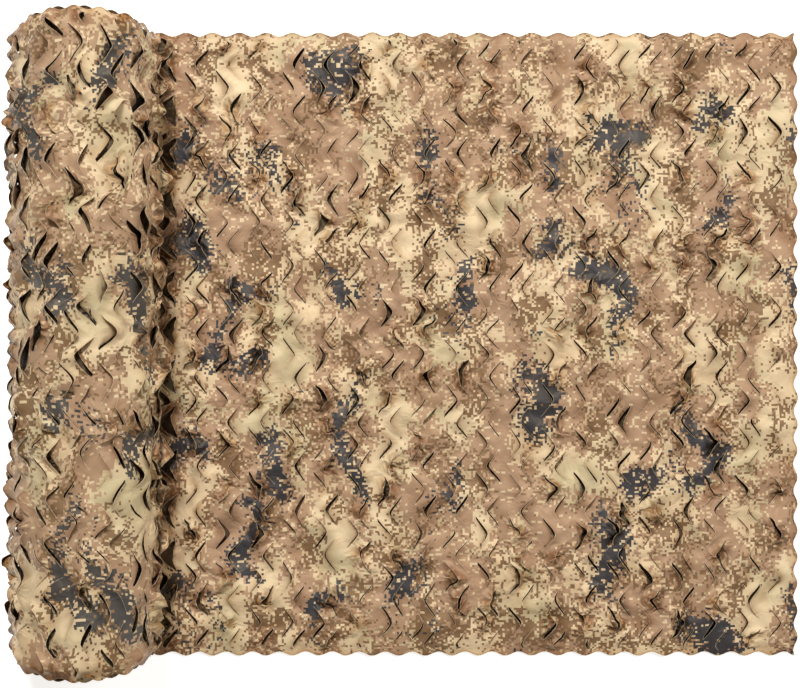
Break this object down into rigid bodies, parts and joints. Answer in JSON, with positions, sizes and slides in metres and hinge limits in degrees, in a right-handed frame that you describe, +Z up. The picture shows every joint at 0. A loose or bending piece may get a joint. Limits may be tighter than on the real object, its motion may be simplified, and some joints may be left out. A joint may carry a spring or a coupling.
{
  "type": "camouflage netting",
  "caption": "Slit-cut camouflage netting printed in desert tones, wound into a roll with its loose end laid out flat.",
  "frame": {"origin": "middle of the footprint, on the surface that the netting rests on", "axes": "+X along the cloth from the roll to the tip of the loose end, +Y across the cloth, along the roll, +Z up"},
  "size_m": [1.8678, 1.508, 0.3531],
  "materials": {
    "printed_cloth": "matt woven polyester with a faint sheen, printed in a square-dot camouflage of tan, pink-brown, olive-brown and slate"
  },
  "bodies": {
    "root": {"netting_roll": "printed_cloth", "netting_loose_end": "printed_cloth"}
  },
  "joints": []
}
